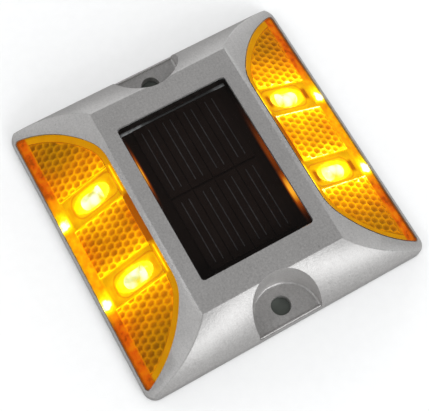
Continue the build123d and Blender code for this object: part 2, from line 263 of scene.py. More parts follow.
def new_piece(name, points, faces, material, attributes=None, smooth_angle=40.0):
    """Object riding on the body, made from points in millimetres and faces, with point attributes.

    Doubled points are merged, flat slivers are dropped and the faces are turned outwards.
    """
    mesh = bpy.data.meshes.new(name)
    points = np.asarray(points, float).reshape(-1, 3) * MM
    mesh.from_pydata(points.tolist(), [], np.asarray(faces).tolist())
    for key, values in (attributes or {}).items():
        layer = mesh.attributes.new(key, "FLOAT", "POINT")
        layer.data.foreach_set("value", np.ravel(values).astype(np.float32))
    shape = bmesh.new()
    shape.from_mesh(mesh)
    bmesh.ops.remove_doubles(shape, verts=shape.verts, dist=2e-6)
    bmesh.ops.dissolve_degenerate(shape, edges=shape.edges, dist=1e-6)
    bmesh.ops.recalc_face_normals(shape, faces=shape.faces)
    shape.to_mesh(mesh)
    shape.free()
    mesh.shade_smooth()
    mesh.set_sharp_from_angle(angle=radians(smooth_angle))
    mesh.materials.append(material)
    piece = bpy.data.objects.new(name, mesh)
    bpy.context.scene.collection.objects.link(piece)
    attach(piece, "root")
    return piece


# ------------------------------------------------------------- material helpers


def add_node(tree, kind, settings=None, inputs=None):
    """New node of one kind, with its settings, and its inputs set or linked by name or number."""
    made = tree.nodes.new("ShaderNode" + kind)
    for key, value in (settings or {}).items():
        setattr(made, key, value)
    for key, value in (inputs or {}).items():
        plug(tree, made.inputs[key], value)
    return made


def plug(tree, socket, value):
    """Link an output to a socket, or set the socket's own value."""
    if isinstance(value, bpy.types.NodeSocket):
        tree.links.new(value, socket)
    elif isinstance(value, tuple) and len(value) == 3 and socket.type == "RGBA":
        socket.default_value = (*value, 1.0)
    else:
        socket.default_value = value


def new_material(name, **shader_inputs):
    """Material with one Principled shader, and that shader's inputs set."""
    material = bpy.data.materials.new(name)
    material.use_nodes = True
    tree = material.node_tree
    shader = tree.nodes["Principled BSDF"]
    dress(tree, shader, **shader_inputs)
    return material, tree, shader


def dress(tree, shader, **inputs):
    """Set or link a shader's inputs, written with _ for the spaces in their names."""
    for key, value in inputs.items():
        plug(tree, shader.inputs[key.replace("_", " ")], value)


def place(tree):
    """Object coordinates."""
    return add_node(tree, "TexCoord").outputs["Object"]


def noise(tree, scale, detail=2.0, where=None, roughness=0.5):
    """Noise over the object at a scale in cycles per metre, as a factor."""
    inputs = {"Vector": where or place(tree), "Scale": scale, "Detail": detail, "Roughness": roughness}
    return add_node(tree, "TexNoise", inputs=inputs).outputs["Fac"]


def attribute(tree, name):
    """Factor of a point attribute."""
    return add_node(tree, "Attribute", {"attribute_name": name}).outputs["Fac"]


def math(tree, operation, *values, clamp=False):
    """Result of a Math node."""
    made = add_node(tree, "Math", {"operation": operation, "use_clamp": clamp}, dict(enumerate(values)))
    return made.outputs[0]


def remap(tree, value, low, high, to_low=0.0, to_high=1.0, kind="SMOOTHSTEP"):
    """Value moved from one range to another, held at the ends."""
    inputs = {"Value": value, "From Min": low, "From Max": high, "To Min": to_low, "To Max": to_high}
    return add_node(tree, "MapRange", {"interpolation_type": kind}, inputs).outputs["Result"]


def uneven(tree, pattern, low, high):
    """Value that follows a noise pattern over its middle range."""
    return remap(tree, pattern, 0.3, 0.7, low, high)


def ramp(tree, factor, *stops):
    """Colour from a ramp of (position, colour) stops."""
    made = add_node(tree, "ValToRGB", inputs={"Fac": factor})
    elements = made.color_ramp.elements
    for i, (position, colour) in enumerate(stops):
        element = elements[i] if i < 2 else elements.new(position)
        element.position = position
        element.color = (*colour, 1.0)
    return made.outputs["Color"]


def mottle(tree, pattern, first, second):
    """Colour that follows a noise pattern over its middle range."""
    return ramp(tree, pattern, (0.3, first), (0.7, second))


def blend(tree, factor, first, second, kind="MIX"):
    """Colour mixed from two by a factor."""
    made = add_node(tree, "Mix", {"data_type": "RGBA", "blend_type": kind})
    for socket, value in ((made.inputs[0], factor), (made.inputs[6], first), (made.inputs[7], second)):
        plug(tree, socket, value)
    return made.outputs[2]


def bump(tree, height, strength, distance):
    """Normal from a height pattern; distance is in metres."""
    return add_node(
        tree, "Bump", inputs={"Height": height, "Strength": strength, "Distance": distance}
    ).outputs["Normal"]


# -------------------------------------------------------------------- finishes


def cast_aluminium(colour):
    """Blasted cast aluminium under a thin silver coat: soft sheen, fine grain and a few dark pores."""
    material, tree, shader = new_material("cast_aluminium", Metallic=0.60)
    grain = noise(tree, 1500.0, 3.0)
    speckle = noise(tree, 3200.0, 1.0)
    cloud = noise(tree, 70.0, 3.0)
    pores = noise(tree, 700.0, 1.0)
    darker = tuple(c * 0.86 for c in colour)
    lighter = tuple(min(1.0, c * 1.13) for c in colour)
    level = math(tree, "MULTIPLY_ADD", speckle, 0.45, math(tree, "MULTIPLY", grain, 0.55))
    level = math(tree, "MULTIPLY_ADD", cloud, 0.25, level)
    brush = add_node(tree, "Mapping", inputs={"Vector": place(tree), "Scale": (1.0, 0.12, 0.3)})
    streaks = math(tree, "SUBTRACT", noise(tree, 1700.0, 2.0, brush.outputs[0]), 0.5)
    level = math(tree, "MULTIPLY_ADD", streaks, 0.2, level)
    tone = ramp(tree, level, (0.46, darker), (0.79, lighter))
    tone = blend(tree, remap(tree, pores, 0.18, 0.24, 0.4, 0.0), tone, (0.16, 0.155, 0.15))
    dress(
        tree,
        shader,
        Base_Color=tone,
        Roughness=uneven(tree, grain, 0.42, 0.50),
        Normal=bump(tree, math(tree, "ADD", grain, speckle), 0.5, 0.00008),
    )
    return material


def clear_for_lamps(tree, shader, tint):
    """Let lamplight through a glassy shader, by showing shadow rays a tinted transparent one."""
    output = tree.nodes["Material Output"]
    see = add_node(tree, "BsdfTransparent", inputs={"Color": tint})
    ray = add_node(tree, "LightPath").outputs["Is Shadow Ray"]
    mix = add_node(tree, "MixShader", inputs={0: ray, 1: shader.outputs[0], 2: see.outputs[0]})
    tree.links.new(mix.outputs[0], output.inputs["Surface"])


def amber_cover(colour):
    """Polished amber polycarbonate, faintly scuffed."""
    material, tree, shader = new_material("amber_cover", IOR=1.5, Transmission_Weight=1.0)
    scuff = noise(tree, 420.0, 3.0)
    thick = noise(tree, 60.0)
    paler = tuple(min(1.0, c * 1.06) for c in colour)
    dress(
        tree,
        shader,
        Base_Color=ramp(tree, thick, (0.35, colour), (0.65, paler)),
        Roughness=remap(tree, scuff, 0.4, 0.75, 0.015, 0.06),
    )
    clear_for_lamps(tree, shader, colour)
    return material


def clear_window():
    """Clear polycarbonate window with the faint haze that moulding leaves."""
    material, tree, shader = new_material("clear_window", IOR=1.46, Transmission_Weight=1.0)
    haze = noise(tree, 150.0, 3.0)
    tone = mottle(tree, haze, (0.94, 0.95, 0.96), (0.98, 0.985, 0.99))
    dress(tree, shader, Base_Color=tone, Roughness=remap(tree, haze, 0.35, 0.7, 0.01, 0.05))
    clear_for_lamps(tree, shader, (0.93, 0.94, 0.95))
    return material


def amber_bed():
    """Moulded amber under the cover: golden rim, red-brown strip, yellow bays, lit by the lamps, with
    painted shade between the bays, at the cup ends and along the outline.
    """
    material, tree, shader = new_material("amber_bed", Specular_IOR_Level=0.2)
    inset, strip, cup, shade = (attribute(tree, key) for key in ("inset", "strip", "cup", "shade"))
    cloud = noise(tree, 260.0, 3.0)
    field = mottle(tree, cloud, (0.76, 0.50, 0.0), (0.88, 0.63, 0.0))
    cup_line = remap(tree, math(tree, "ABSOLUTE", cup), 0.08, 0.42, 0.7, 0.0)
    field = blend(tree, cup_line, field, (0.42, 0.12, 0.0))
    gold = mottle(tree, cloud, (0.80, 0.43, 0.0), (0.94, 0.52, 0.0))
    tone = blend(tree, remap(tree, inset, RIM_WIDTH - 0.1, RIM_WIDTH + 0.1), gold, field)
    # A thin darker line along the step where the rim drops to the prism field
    from_rim_step = math(tree, "ABSOLUTE", math(tree, "SUBTRACT", inset, RIM_WIDTH + 0.1))
    seam = remap(tree, from_rim_step, 0.08, 0.32, 0.8, 0.0)
    tone = blend(tree, seam, tone, (0.24, 0.07, 0.0))
    tone = blend(tree, shade, tone, (0.40, 0.085, 0.0))
    brown = ramp(
        tree,
        noise(tree, 330.0, 3.0),
        (0.34, (0.40, 0.04, 0.0)),
        (0.5, (0.86, 0.14, 0.0)),
        (0.66, (1.0, 0.30, 0.0)),
    )
    # Towards the outline the strip turns a darker red-brown
    brown = blend(tree, remap(tree, inset, 0.3, 1.2, 0.6, 0.0), brown, (0.30, 0.045, 0.0))
    tone = blend(tree, remap(tree, strip, -0.5, 0.5), tone, brown)
    # Painted shade: a thin dark line along the lens's outline, where it meets the casting, weaker over
    # the strip
    edge = remap(tree, inset, 0.1, 0.45, 0.85, 0.0)
    edge = math(tree, "MULTIPLY", edge, remap(tree, strip, -0.5, 0.5, 1.0, 0.45))
    tone = blend(tree, edge, tone, (0.10, 0.035, 0.0))
    dress(tree, shader, Base_Color=tone, Roughness=uneven(tree, cloud, 0.28, 0.42))
    lamplight(tree, shader, attribute(tree, "glow"), tone, 0.12)
    return material


def lamplight(tree, shader, glow, tone, share):
    """Lamplight inside the amber, from a glow of 0 to 1: dull orange, orange, yellow, then nearly white.

    A share of the amber's own tone is added, for the daylight that its clear mass passes on.
    """
    flicker = uneven(tree, noise(tree, 500.0), 0.90, 1.06)
    level = math(tree, "MULTIPLY", glow, flicker, clamp=True)
    colour = ramp(
        tree,
        level,
        (0.0, (0.0, 0.0, 0.0)),
        (0.2, (0.10, 0.024, 0.0)),
        (0.45, (0.25, 0.12, 0.0)),
        (0.7, (0.45, 0.34, 0.0)),
        (0.86, (0.75, 0.62, 0.02)),
        (1.0, (1.0, 0.98, 0.90)),
    )
    dress(tree, shader, Emission_Color=blend(tree, share, colour, tone, "ADD"), Emission_Strength=2.6)


def amber_prism():
    """Moulded amber prisms: darker hollows between bright borders, as painted shade and painted light,
    brighter near the lamps.
    """
    material, tree, shader = new_material("amber_prism", Specular_IOR_Level=0.2)
    keys = ("seam", "tone", "glow", "red_shade", "dim")
    seam, tone, glow, red_shade, dim = (attribute(tree, key) for key in keys)
    cloud = noise(tree, 110.0)
    # Painted shade darkens the hollows and painted light brightens the borders
    hollow = ramp(tree, cloud, (0.35, (0.60, 0.26, 0.0)), (0.65, (0.72, 0.34, 0.0)))
    border = ramp(tree, cloud, (0.35, (0.94, 0.48, 0.0)), (0.65, (1.0, 0.58, 0.0)))
    colour = blend(tree, remap(tree, seam, 0.2, 0.9), hollow, border)
    # Painted shade: redder away from the lamps and the lit strip, dimmer towards the ends of the lens
    red_shaded = ramp(tree, seam, (0.0, (0.66, 0.17, 0.0)), (1.0, (0.98, 0.34, 0.0)))
    dimmer = ramp(tree, seam, (0.0, (0.34, 0.16, 0.0)), (1.0, (0.80, 0.46, 0.0)))
    colour = blend(tree, red_shade, colour, red_shaded)
    colour = blend(tree, dim, colour, dimmer)
    # Painted shading by facet from the lit side, with random tone per prism; it scales colour and
    # lamplight
    facet = remap(tree, tone, 0.0, 1.0, 0.72, 1.20, "LINEAR")
    colour = blend(tree, 1.0, colour, facet, "MULTIPLY")
    dress(tree, shader, Base_Color=colour, Roughness=uneven(tree, noise(tree, 700.0), 0.2, 0.34))
    lit = math(tree, "MULTIPLY", glow, remap(tree, seam, 0.1, 1.0, 0.62, 1.12))
    lamplight(tree, shader, math(tree, "MULTIPLY", lit, facet), colour, 0.08)
    return material


def led_epoxy():
    """Lit amber LED: yellow all over, with white hot patches along the axis of the lamp."""
    material, tree, shader = new_material("led_epoxy", Roughness=0.12)
    split = add_node(tree, "SeparateXYZ", inputs={0: place(tree)})
    along = math(tree, "ABSOLUTE", split.outputs[0])
    across = math(tree, "ABSOLUTE", split.outputs[1])
    patches = None
    for at_x, at_y, reach in LED_PATCHES:
        gap_x = math(tree, "POWER", math(tree, "SUBTRACT", along, at_x), 2.0)
        gap_y = math(tree, "POWER", math(tree, "SUBTRACT", across, at_y), 2.0)
        gap = math(tree, "SQRT", math(tree, "ADD", gap_x, gap_y))
        patch = remap(tree, gap, reach * 0.2, reach * 1.4, 1.0, 0.0)
        patches = patch if patches is None else math(tree, "MAXIMUM", patches, patch)
    swirl = remap(tree, noise(tree, 380.0, 1.0), 0.3, 0.6, 0.6, 1.0)
    level = math(tree, "MULTIPLY", patches, swirl)
    tone = ramp(tree, level, (0.0, (0.85, 0.5, 0.01)), (1.0, (0.9, 0.7, 0.4)))
    dress(tree, shader, Base_Color=tone)
    glow = ramp(
        tree,
        level,
        (0.0, (0.16, 0.24, 0.0)),
        (0.3, (0.20, 0.30, 0.04)),
        (0.65, (0.30, 0.42, 0.35)),
        (1.0, (0.45, 0.55, 0.72)),
    )
    dress(tree, shader, Emission_Color=glow, Emission_Strength=2.0)
    return material


def silicon():
    """Dark solar cell: brown-black coat, fine conductor fingers and faint crystal grain."""
    material, tree, shader = new_material("silicon", Specular_IOR_Level=0.15)
    split = add_node(tree, "SeparateXYZ", inputs={0: place(tree)})
    phase = math(tree, "MULTIPLY", split.outputs[1], 2 * pi / 0.0011)
    finger = remap(tree, math(tree, "SINE", phase), 0.86, 0.99, 0.0, 0.10)
    cells = add_node(tree, "TexVoronoi", inputs={"Vector": place(tree), "Scale": 160.0})
    grain = remap(tree, cells.outputs["Distance"], 0.0, 0.8, 0.0, 1.0)
    tone = ramp(tree, grain, (0.0, (0.0225, 0.0110, 0.0074)), (1.0, (0.0275, 0.0142, 0.0100)))
    tone = blend(tree, finger, tone, (0.05, 0.04, 0.036))
    dress(tree, shader, Base_Color=tone, Roughness=uneven(tree, noise(tree, 300.0), 0.42, 0.55))
    return material


def panel_laminate():
    """Brown-black laminate round the cells, with the faint weave of the glass cloth in it."""
    material, tree, shader = new_material("panel_laminate", Specular_IOR_Level=0.15)
    weave = add_node(tree, "TexWave", inputs={"Vector": place(tree), "Scale": 900.0, "Distortion": 2.0})
    threads = weave.outputs["Fac"]
    tone = ramp(tree, threads, (0.0, (0.0205, 0.0098, 0.0064)), (1.0, (0.0250, 0.0128, 0.0088)))
    dress(tree, shader, Base_Color=tone, Roughness=uneven(tree, noise(tree, 300.0), 0.42, 0.55))
    lamp_leak(tree, shader)
    return material


def lamp_leak(tree, shader):
    """Lamplight leaking past the long sides of the panel: Gaussians along Y, each on one side."""
    split = add_node(tree, "SeparateXYZ", inputs={0: place(tree)})
    total = None
    for side, middle, half_length, peak in PANEL_LEAKS:
        off = math(tree, "DIVIDE", math(tree, "SUBTRACT", split.outputs[1], middle), half_length)
        bell = math(tree, "EXPONENT", math(tree, "MULTIPLY", math(tree, "POWER", off, 2.0), -1.0))
        on_side = remap(tree, math(tree, "MULTIPLY", split.outputs[0], side), 0.0178, 0.0188, 0.0, peak)
        leak = math(tree, "MULTIPLY", bell, on_side)
        total = leak if total is None else math(tree, "MAXIMUM", total, leak)
    glow = ramp(tree, total, (0.0, (0.0, 0.0, 0.0)), (0.4, (0.30, 0.05, 0.0)), (1.0, (1.0, 0.42, 0.02)))
    dress(tree, shader, Emission_Color=glow, Emission_Strength=1.1)


def panel_border():
    """Dark bonded border of the panel, painted a little paler all over, a painted highlight for the light
    its cut edge catches.
    """
    material, tree, shader = new_material("panel_border", Specular_IOR_Level=0.25)
    fine = noise(tree, 1200.0)
    # Painted highlight: the border's colour is paler than the laminate's
    tone = mottle(tree, fine, (0.026, 0.018, 0.015), (0.045, 0.033, 0.028))
    dress(tree, shader, Base_Color=tone, Roughness=uneven(tree, fine, 0.35, 0.55))
    lamp_leak(tree, shader)
    return material


def solder_ribbon():
    """Solder-tinned ribbon, bright and lumpy at its ends and duller in the middle."""
    material, tree, shader = new_material("solder_ribbon", Metallic=0.35)
    split = add_node(tree, "SeparateXYZ", inputs={0: place(tree)})
    left_end = remap(tree, split.outputs[0], -0.0135, -0.0075, 1.0, 0.0)
    right_end = remap(tree, split.outputs[0], 0.0120, 0.0165, 0.0, 0.75)
    lumps = remap(tree, noise(tree, 420.0), 0.35, 0.65, 0.75, 1.15)
    level = math(tree, "MULTIPLY", math(tree, "MAXIMUM", left_end, right_end), lumps, clamp=True)
    dull, half, bright = (0.13, 0.125, 0.12), (0.34, 0.33, 0.32), (0.86, 0.85, 0.83)
    colour = ramp(tree, level, (0.0, dull), (0.5, half), (1.0, bright))
    dress(tree, shader, Base_Color=colour, Roughness=remap(tree, lumps, 0.75, 1.15, 0.35, 0.6))
    return material


def tinned(name, colour):
    """Tinned copper ribbon: soft metal with dull and bright patches."""
    material, tree, shader = new_material(name, Metallic=0.7)
    dull = noise(tree, 800.0, 3.0)
    darker = tuple(c * 0.75 for c in colour)
    dress(
        tree,
        shader,
        Base_Color=mottle(tree, dull, darker, colour),
        Roughness=uneven(tree, dull, 0.3, 0.5),
    )
    return material


def moulded(name, colour, roughness, grain=900.0, metallic=0.0, depth=0.00004):
    """Moulded or plated surface: one colour with slight clouding, a fine grain and uneven gloss."""
    material, tree, shader = new_material(name, Metallic=metallic)
    cloud = noise(tree, grain / 8, 3.0)
    fine = noise(tree, grain)
    darker = tuple(c * 0.8 for c in colour)
    lighter = tuple(min(1.0, c * 1.15) for c in colour)
    dress(
        tree,
        shader,
        Base_Color=mottle(tree, cloud, darker, lighter),
        Roughness=uneven(tree, cloud, roughness * 0.85, roughness * 1.15),
        Normal=bump(tree, fine, 0.3, depth),
    )
    return material


HIDDEN_FINISHES = {
    "seal_rubber": ((0.022, 0.022, 0.022), 0.62, 1500.0, 0.0),
    "board": ((0.012, 0.06, 0.022), 0.35, 700.0, 0.0),
    "reflector_plastic": ((0.72, 0.62, 0.40), 0.28, 600.0, 0.0),
    "cover_plastic": ((0.03, 0.03, 0.033), 0.55, 1800.0, 0.0),
    "steel_screw": ((0.48, 0.48, 0.50), 0.34, 1200.0, 1.0),
    "battery_sleeve": ((0.02, 0.12, 0.05), 0.25, 500.0, 0.0),
    "nickel": ((0.62, 0.58, 0.52), 0.28, 900.0, 1.0),
    "component": ((0.012, 0.012, 0.014), 0.5, 1600.0, 0.0),
    "can_metal": ((0.55, 0.55, 0.58), 0.3, 900.0, 1.0),
    "wire_sleeve": ((0.35, 0.02, 0.015), 0.35, 900.0, 0.0),
}


# ------------------------------------------------------------- user's settings


class StudCastingSettings(bpy.types.PropertyGroup):
    """Colour and edges of the casting."""

    colour: FloatVectorProperty(
        name="Metal",
        description="Colour of the cast aluminium",
        subtype="COLOR",
        default=(0.53, 0.515, 0.505),
    )
    edge_radius: FloatProperty(
        name="Edge radius",
        description="Radius broken on the sharp edges of the casting",
        subtype="DISTANCE",
        default=0.0003,
        min=0.0,
    )


class StudLensSettings(bpy.types.PropertyGroup):
    """Colour and thickness of the lenses."""

    colour: FloatVectorProperty(
        name="Amber",
        description="Tint of the clear amber cover",
        subtype="COLOR",
        default=(1.0, 0.92, 0.58),
    )
    cover_thickness: FloatProperty(
        name="Cover thickness",
        description="Thickness of the smooth cover over the prisms",
        subtype="DISTANCE",
        default=0.0009,
        min=0.0006,
        max=0.0011,
    )


def lamp_power(name, description, default):
    """Setting for the power of a lamp."""
    return FloatProperty(name=name, description=description, unit="POWER", default=default, min=0.0)


class StudStageSettings(bpy.types.PropertyGroup):
    """Lamps and backdrop."""

    front_power: lamp_power("Front lamp", "Power of the large low lamp in front", 16.0)
    side_power: lamp_power("Side lamps", "Power of the near left lamp, which the others follow", 4.0)
    back_power: lamp_power("Back lamp", "Power of the lamp behind the stud", 5.0)
    room_light: FloatProperty(
        name="Room light", description="Strength of the even light", default=0.74, min=0.0
    )
    backdrop: FloatVectorProperty(
        name="Backdrop", description="Colour of the floor", subtype="COLOR", default=(0.95, 0.95, 0.95)
    )


# --------------------------------------------------------------- piece builders


def recess_fillet(end):
    """Points and grid size of the cast fillet at the foot of a bolt recess's wall.

    In section it is a quarter circle, tangent to the floor and to the wall. It is carried round
    the wall by the turn a, and its radius wavers by two sines of a, as a cast corner does.
    """
    a, arc = np.meshgrid(np.linspace(-1.75, 1.75, 90), np.linspace(0.0, pi / 2, 7), indexing="ij")
    radius = FILLET_RADIUS * (1.0 + 0.18 * np.sin(5.0 * a + 0.6) + 0.12 * np.sin(13.0 * a))
    reach = RECESS_RADIUS - radius * (1.0 - np.sin(arc))
    rise = RECESS_FLOOR + radius * (1.0 - np.cos(arc))
    layers = []
    for out, down in ((0.0, 0.0), (0.15, 0.15)):
        x = (reach + out) * np.sin(a)
        y = end * (RECESS_Y - (reach + out) * np.cos(a))
        layers.append(np.stack([x, y, rise - down], axis=-1).reshape(-1, 3))
    return np.concatenate(layers), a.shape


def recess_lip(end):
    """Points and grid size of the raised lip along the outer edge of a bolt recess's floor.

    A half circle in section runs along X, and its height wavers by two sines of x.
    """
    reach = sqrt(RECESS_RADIUS**2 - (LIP_Y - RECESS_Y) ** 2) - 0.2
    x, arc = np.meshgrid(np.linspace(-reach, reach, 80), np.linspace(0.0, pi, 9), indexing="ij")
    radius = LIP_RADIUS * (1.0 + 0.12 * np.sin(1.3 * x + 0.4) + 0.08 * np.sin(3.7 * x))
    y = end * (LIP_Y + radius * np.cos(arc))
    upper = np.stack([x, y, RECESS_FLOOR + radius * np.sin(arc)], axis=-1)
    lower = np.stack([x, y, np.full_like(x, RECESS_FLOOR - 0.15)], axis=-1)
    return np.concatenate([upper.reshape(-1, 3), lower.reshape(-1, 3)]), x.shape


class STUD_OT_casting(bpy.types.Operator):
    """Build the casting with its sharp edges broken, and the fillet and lip of each bolt recess"""

    bl_idname = "stud.casting"
    bl_label = "Casting"

    def execute(self, context):
        settings = context.scene.stud_casting
        mesh = bpy.data.meshes.new("casting")
        shape = bmesh.new()
        shape.from_mesh(frame["nodes"]["body_casting"].data)
        bmesh.ops.remove_doubles(shape, verts=shape.verts, dist=5e-6)
        bmesh.ops.dissolve_limit(shape, angle_limit=radians(0.5), verts=shape.verts, edges=shape.edges)
        shape.to_mesh(mesh)
        shape.free()
        mesh.shade_smooth()
        mesh.set_sharp_from_angle(angle=radians(35.0))
        metal = cast_aluminium(tuple(settings.colour))
        mesh.materials.append(metal)
        casting = bpy.data.objects.new("casting", mesh)
        context.scene.collection.objects.link(casting)
        edges = casting.modifiers.new("broken edges", "BEVEL")
        edges.width = settings.edge_radius
        edges.segments = 2
        edges.limit_method = "ANGLE"
        edges.angle_limit = radians(35.0)
        edges.use_clamp_overlap = True
        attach(casting, "root")
        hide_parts("body_casting")
        for name, end in (("near", -1), ("far", 1)):
            for shape_name, surface in (("fillet", recess_fillet), ("lip", recess_lip)):
                points, size = surface(end)
                detail = new_piece(f"recess_{shape_name}_{name}", points, slab_faces(*size), metal)
        return {"FINISHED"}


def cover_surface(side, thickness):
    """Points of a lens cover's top and bottom and its grid size.

    The top lies in the facet. Its edge is rounded by a quarter circle, and a shallow groove
    runs along the inside of the rim: a Gaussian in the distance from the outline.
    """
    grid = lens_grid(70, 190)
    u, v = grid[..., 0], grid[..., 1]
    inset = lens_inset(u, v)
    gap = COVER_EDGE_RADIUS - np.minimum(inset, COVER_EDGE_RADIUS)
    top = COVER_EDGE_RADIUS - np.sqrt(COVER_EDGE_RADIUS**2 - gap**2)
    top = top + GROOVE_DEPTH * np.exp(-(((inset - RIM_WIDTH) / GROOVE_REACH) ** 2))
    upper = on_facet(side, u, v, COVER_TOP + top)
    lower = on_facet(side, u, v, np.full_like(u, thickness))
    return np.concatenate([upper.reshape(-1, 3), lower.reshape(-1, 3)]), grid.shape[:2]


def rounded_box_gap(u, v):
    """Signed distance from each point to the rounded outline of a lamp cup, below 0 inside it."""
    gap_u = np.abs(u - CUP_U) - (CUP_HALF_U - CUP_RADIUS)
    gap_v = np.abs(np.abs(v) - BOWL_V) - (CUP_HALF_V - CUP_RADIUS)
    outside = np.hypot(np.maximum(gap_u, 0.0), np.maximum(gap_v, 0.0))
    return outside + np.minimum(np.maximum(gap_u, gap_v), 0.0) - CUP_RADIUS


def bowl_share(u, v):
    """0 at the middle of a lamp bowl and 1 on its oval rim: the length of (u, v) over the half axes."""
    return np.hypot((u - BOWL_U) / BOWL_HALF_U, (np.abs(v) - BOWL_V) / BOWL_HALF_V)


def strip_light(v):
    """Lamplight along the outer strip: a Gaussian round each lamp, twice as long on its +v side."""
    from_core = v - (np.where(v >= 0.0, BOWL_V, -BOWL_V) - HOT_CORE_OFFSET)
    reach = np.where(from_core > 0.0, STRIP_REACH_PAST, STRIP_REACH_BEFORE)
    return STRIP_PEAK * np.exp(-((from_core / reach) ** 2))


def hot_core(name, u, v):
    """White heart of the lamplight in the outer strip: a Gaussian in u and v round each lamp's core."""
    reach_u, reach_v = HOT_CORE_REACH[name]
    core_v = np.where(v >= 0.0, BOWL_V, -BOWL_V) - HOT_CORE_OFFSET
    core_u = (STRIP_U + LENS_OUTER_U) / 2 + 0.3
    return HOT_CORE_PEAK * np.exp(-(((u - core_u) / reach_u) ** 2) - ((v - core_v) / reach_v) ** 2)


def bed_surface(name, side):
    """Points, attributes and grid size of the moulded bed under a lens cover.

    Depth is level along the rim and the strip, lower under the prisms, and falls by a smooth
    step into each bay and by a rounded bowl under each lamp.
    """
    grid = lens_grid(96, 300)
    u, v = grid[..., 0], grid[..., 1]
    inset = lens_inset(u, v)
    cup = rounded_box_gap(u, v)
    bowl = bowl_share(u, v)
    in_bay = smooth_step(BAY_OUTER_V - np.abs(v), -0.15, 0.15)
    in_bay = in_bay * smooth_step(np.abs(v) - BAY_INNER_V, -0.15, 0.15)
    field = smooth_step(inset, RIM_WIDTH, RIM_WIDTH + 0.3) * smooth_step(STRIP_U - u, -0.15, 0.3)
    depth = RIM_DEPTH + field * (FIELD_DROP - BAY_RISE * in_bay)
    depth = depth + CUP_DROP * smooth_step(-cup, 0.0, 0.35)
    depth = depth + BOWL_DROP * np.clip(1.0 - bowl**2, 0.0, 1.0) ** 0.6
    near_lamp = np.abs(v) - BOWL_V
    halo = 0.56 * np.exp(-np.maximum(bowl - 1.0, 0.0) * 1.3)
    glow = np.where(bowl < 1.0, 0.84 - 0.08 * bowl**4, halo * (0.35 + 0.65 * in_bay))
    bay_edges = np.minimum(np.abs(np.abs(v) - BAY_INNER_V), np.abs(np.abs(v) - BAY_OUTER_V))
    past_rim = smooth_step(u, PRISM_INNER_U - 1.5, PRISM_INNER_U)
    glow = np.maximum(glow, 0.74 * np.exp(-((bay_edges / 0.3) ** 2)) * past_rim)
    glow = np.maximum(glow, 0.10 * smooth_step(inset, 0.3, 0.7))
    glow = glow * smooth_step(STRIP_U + 0.4 - u, 0.0, 0.5)
    along_strip = np.maximum(strip_light(v), 0.13 + 0.36 * smooth_step(27.0 - np.abs(v), 0.0, 9.0))
    along_strip = along_strip + hot_core(name, u, v)
    glow = np.maximum(glow, smooth_step(u, STRIP_U - 1.2, STRIP_U + 0.4) * along_strip)
    inner_line = np.exp(-(((u - 3.4) / 0.38) ** 2)) * smooth_step(5.8 - np.abs(near_lamp), 0.0, 1.5)
    glow = np.maximum(glow, 0.74 * inner_line)
    between = smooth_step(BAY_INNER_V + 0.6 - np.abs(v), 0.0, 1.2)
    shade = 0.9 * between * smooth_step(PRISM_INNER_U + 0.2 - u, 0.0, 0.6)
    cup_ends = np.abs(np.abs(u - BOWL_U) - BOWL_HALF_U - 0.9)
    end_shadow = smooth_step(1.4 - cup_ends, 0.0, 1.0) * smooth_step(2.9 - np.abs(near_lamp), 0.0, 1.6)
    shade = np.maximum(shade, CUP_END_SHADE[name] * end_shadow)
    glow = np.where(bowl < 1.0, glow, glow * (1.0 - 0.75 * CUP_END_SHADE[name] * end_shadow))
    glow = np.maximum(glow, 0.42 * between * np.exp(-(((u - PRISM_INNER_U) / 0.25) ** 2)))
    attributes = {"inset": inset, "strip": u - STRIP_U, "cup": cup, "glow": glow, "shade": shade}
    return on_facet(side, u, v, depth), attributes, grid.shape[:2]


def prism_fields(start_u, start_v):
    """Centres, points, depths and marks of the prisms of one lens, and the faces of a single prism.

    Prism centres stand on a staggered grid. Each is a six-sided hollow: a border ring, two
    lower rings scaled from it, and a middle point. Points outside the fields are drawn
    to their borders, so that the rows end cleanly. Tone is part chance and part painted
    shading: the cosine of the turn from the lit side.
    """
    rows = np.arange(-2, 14)
    columns = np.arange(-22, 23)
    row, column = np.meshgrid(rows, columns, indexing="ij")
    cu = start_u + (row + 0.5) * PRISM_PITCH_U
    cv = start_v + (column + 0.5 * (row % 2)) * PRISM_PITCH_V
    cu, cv = cu.ravel(), cv.ravel()
    turn = np.arange(6) * pi / 3
    reach_u = PRISM_PITCH_U * 2 / 3 * np.cos(turn)
    reach_v = PRISM_PITCH_V / sqrt(3) * np.sin(turn)
    scales, depths, seams = np.array(PRISM_SCALES), np.array(PRISM_DEPTHS), np.array(PRISM_SEAMS)
    u = cu[:, None, None] + scales[None, :, None] * reach_u[None, None, :]
    v = cv[:, None, None] + scales[None, :, None] * reach_v[None, None, :]
    lift = PRISM_CORNER_LIFT * np.cos(turn * 3)[None, None, :] * scales[None, :, None] ** 4
    depth = depths[None, :, None] + lift + np.zeros_like(u)
    rng = np.random.default_rng(7)
    # Painted shading: facets lighter the nearer their turn is to the lit side
    facing = 0.5 + 0.5 * np.cos(turn - PRISM_LIGHT_TURN)[None, None, :] * (scales > 0.0)[None, :, None]
    tone = 0.45 * rng.random(len(cu))[:, None, None] + 0.55 * facing + np.zeros_like(u)
    seam = seams[None, :, None] + np.zeros_like(u)
    ring = np.arange(6)
    after = (ring + 1) % 6
    bands = []
    for level in range(3):
        a, b = 6 * level, 6 * (level + 1)
        bands.append(np.stack([a + ring, a + after, b + after, b + ring], axis=-1))
    template = np.concatenate(bands)
    return cu, cv, u, v, depth, seam, tone, template


